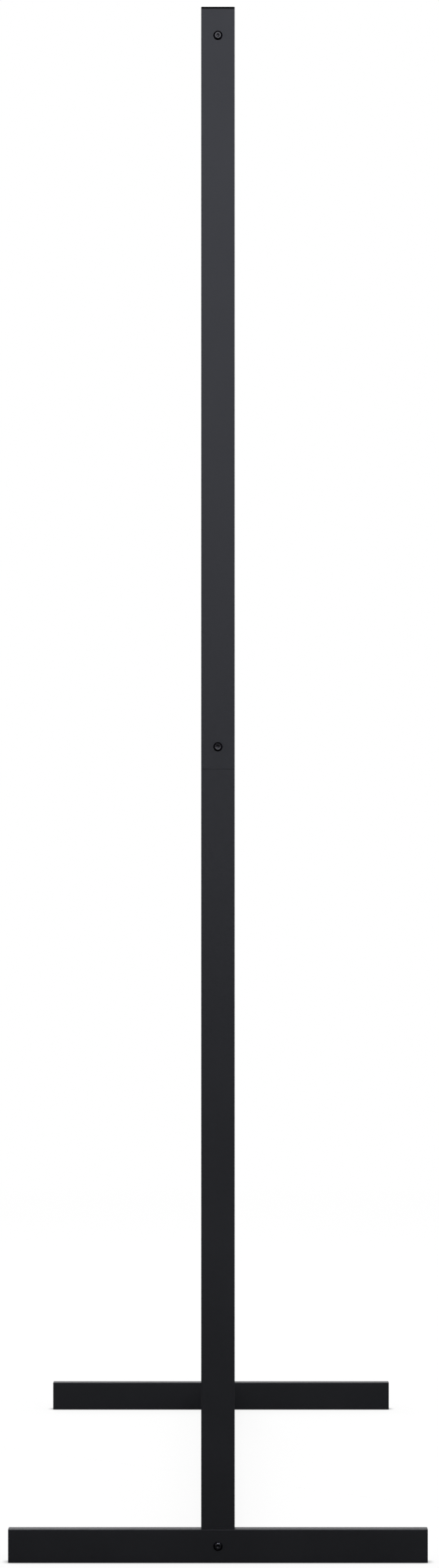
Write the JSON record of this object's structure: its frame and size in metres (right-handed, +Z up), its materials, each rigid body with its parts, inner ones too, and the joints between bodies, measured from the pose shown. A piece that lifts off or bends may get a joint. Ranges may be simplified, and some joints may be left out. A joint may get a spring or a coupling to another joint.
{
  "type": "clothes rack",
  "caption": "Free-standing clothes rack of black rectangular steel tube: inverted-T end frames with spliced posts, a round hanging rail and a low base bar.",
  "frame": {"origin": "on the floor, under the middle of the rack", "axes": "+X along the hanging rail to the right-hand end frame, +Y along the feet to the rear, +Z up"},
  "size_m": [1.5066, 0.5, 1.8533],
  "materials": {
    "powder_coat": "satin black powder coat",
    "cap_plastic": "matt black",
    "black_screw": "black plated steel",
    "zinc_steel": "zinc-plated steel"
  },
  "bodies": {
    "root": {"hanging_rail": "powder_coat", "base_bar": "powder_coat", "left_foot": "powder_coat", "left_foot_front_plate": "powder_coat", "left_foot_rear_plate": "powder_coat", "left_lower_post": "powder_coat", "left_upper_post": "powder_coat", "left_post_cap": "cap_plastic", "left_rail_screw": "black_screw", "left_splice_screw": "black_screw", "left_base_screw": "black_screw", "left_post_sleeve": "zinc_steel", "left_sleeve_nut": "zinc_steel", "left_rail_plug": "zinc_steel", "left_rail_spacer": "zinc_steel", "left_bar_plate": "zinc_steel", "left_bar_nut": "zinc_steel", "left_base_spacer": "zinc_steel", "right_foot": "powder_coat", "right_foot_front_plate": "powder_coat", "right_foot_rear_plate": "powder_coat", "right_lower_post": "powder_coat", "right_upper_post": "powder_coat", "right_post_cap": "cap_plastic", "right_rail_screw": "black_screw", "right_splice_screw": "black_screw", "right_base_screw": "black_screw", "right_post_sleeve": "zinc_steel", "right_sleeve_nut": "zinc_steel", "right_rail_plug": "zinc_steel", "right_rail_spacer": "zinc_steel", "right_bar_plate": "zinc_steel", "right_bar_nut": "zinc_steel", "right_base_spacer": "zinc_steel"}
  },
  "joints": []
}
